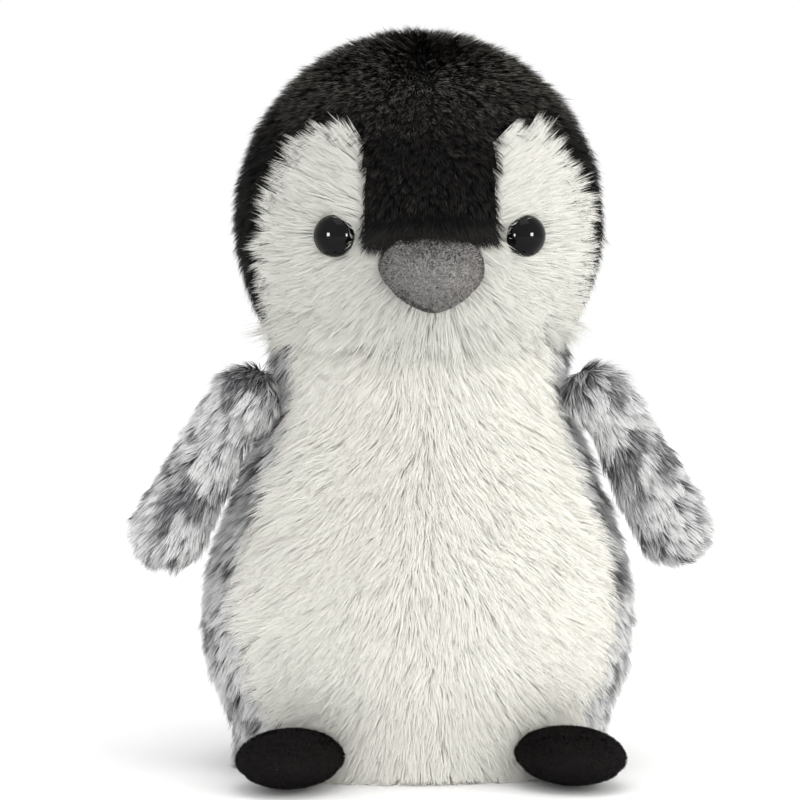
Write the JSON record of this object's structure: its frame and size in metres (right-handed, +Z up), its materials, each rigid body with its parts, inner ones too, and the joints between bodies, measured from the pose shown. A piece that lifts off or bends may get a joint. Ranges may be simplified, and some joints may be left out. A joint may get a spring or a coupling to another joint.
{
  "type": "plush penguin",
  "caption": "Standing stuffed penguin chick with round head, flat base, soft sewn flippers and flat feet; head nods and turns, flippers swing and lift.",
  "frame": {"origin": "on the floor under the middle of the toy's bounding box", "axes": "+Z up; the toy faces -Y; +X is the toy's own left"},
  "size_m": [0.156, 0.1102, 0.2],
  "materials": {
    "black_plush": "short dense black pile",
    "white_plush": "long soft white pile",
    "frosted_plush": "charcoal pile with silver tips",
    "beak_fleece": "short-nap grey fleece",
    "foot_knit": "black ribbed knit",
    "base_cloth": "plain short-nap cloth",
    "stuffing": "loose polyester fibre",
    "pouch_cloth": "plain woven cotton",
    "eye_plastic": "polished black",
    "washer_plastic": "moulded",
    "pellet_plastic": "moulded pellets"
  },
  "bodies": {
    "body": {"belly_panel_left": "white_plush", "belly_panel_right": "white_plush", "back_panel_left": "frosted_plush", "back_panel_right": "frosted_plush", "base_panel": "base_cloth", "body_fill": "stuffing", "base_fill": "stuffing", "pellet_pouch": "pouch_cloth", "pellets": "pellet_plastic"},
    "neck": {"neck_fill": "stuffing"},
    "head": {"crown_panel": "black_plush", "head_side_left": "black_plush", "head_side_right": "black_plush", "face_panel_left": "white_plush", "face_panel_right": "white_plush", "head_fill": "stuffing", "eye_left": "eye_plastic", "eye_right": "eye_plastic", "eye_washer_left": "washer_plastic", "eye_washer_right": "washer_plastic", "beak_upper": "beak_fleece", "beak_lower": "beak_fleece", "beak_fill": "stuffing"},
    "shoulder_left": {"flipper_web_left": "base_cloth"},
    "flipper_left": {"flipper_front_left": "frosted_plush", "flipper_back_left": "frosted_plush", "flipper_fill_left": "stuffing"},
    "foot_left": {"foot_top_left": "foot_knit", "foot_sole_left": "foot_knit", "foot_fill_left": "stuffing"},
    "shoulder_right": {"flipper_web_right": "base_cloth"},
    "flipper_right": {"flipper_front_right": "frosted_plush", "flipper_back_right": "frosted_plush", "flipper_fill_right": "stuffing"},
    "foot_right": {"foot_top_right": "foot_knit", "foot_sole_right": "foot_knit", "foot_fill_right": "stuffing"}
  },
  "joints": [
    {"name": "head_turn", "type": "hinge", "parent": "body", "child": "neck", "pos_m": [0, 0.007, 0.082], "axis": [0, 0, 1], "range_deg": [-25, 25], "stiffness_Nm_per_rad": 0.12},
    {"name": "head_nod", "type": "hinge", "parent": "neck", "child": "head", "pos_m": [0, 0.007, 0.082], "axis": [1, 0, 0], "range_deg": [-10, 12], "stiffness_Nm_per_rad": 0.5},
    {"name": "flipper_left_swing", "type": "hinge", "parent": "body", "child": "shoulder_left", "pos_m": [0.0485, -0.0075, 0.101], "axis": [0, 0, 1], "range_deg": [-25, 15], "stiffness_Nm_per_rad": 0.012},
    {"name": "flipper_left_lift", "type": "hinge", "parent": "shoulder_left", "child": "flipper_left", "pos_m": [0.0485, -0.0075, 0.101], "axis": [0, -1, 0], "range_deg": [0, 75], "stiffness_Nm_per_rad": 0.012},
    {"name": "foot_left_flex", "type": "hinge", "parent": "body", "child": "foot_left", "pos_m": [0.0339, -0.02366, 0.008], "axis": [-0.9781, -0.2079, 0], "range_deg": [0, 20], "stiffness_Nm_per_rad": 0.06},
    {"name": "flipper_right_swing", "type": "hinge", "parent": "body", "child": "shoulder_right", "pos_m": [-0.0485, -0.0075, 0.101], "axis": [0, 0, -1], "range_deg": [-25, 15], "stiffness_Nm_per_rad": 0.012},
    {"name": "flipper_right_lift", "type": "hinge", "parent": "shoulder_right", "child": "flipper_right", "pos_m": [-0.0485, -0.0075, 0.101], "axis": [0, 1, 0], "range_deg": [0, 75], "stiffness_Nm_per_rad": 0.012},
    {"name": "foot_right_flex", "type": "hinge", "parent": "body", "child": "foot_right", "pos_m": [-0.0339, -0.02366, 0.008], "axis": [-0.9781, 0.2079, 0], "range_deg": [0, 20], "stiffness_Nm_per_rad": 0.06}
  ]
}
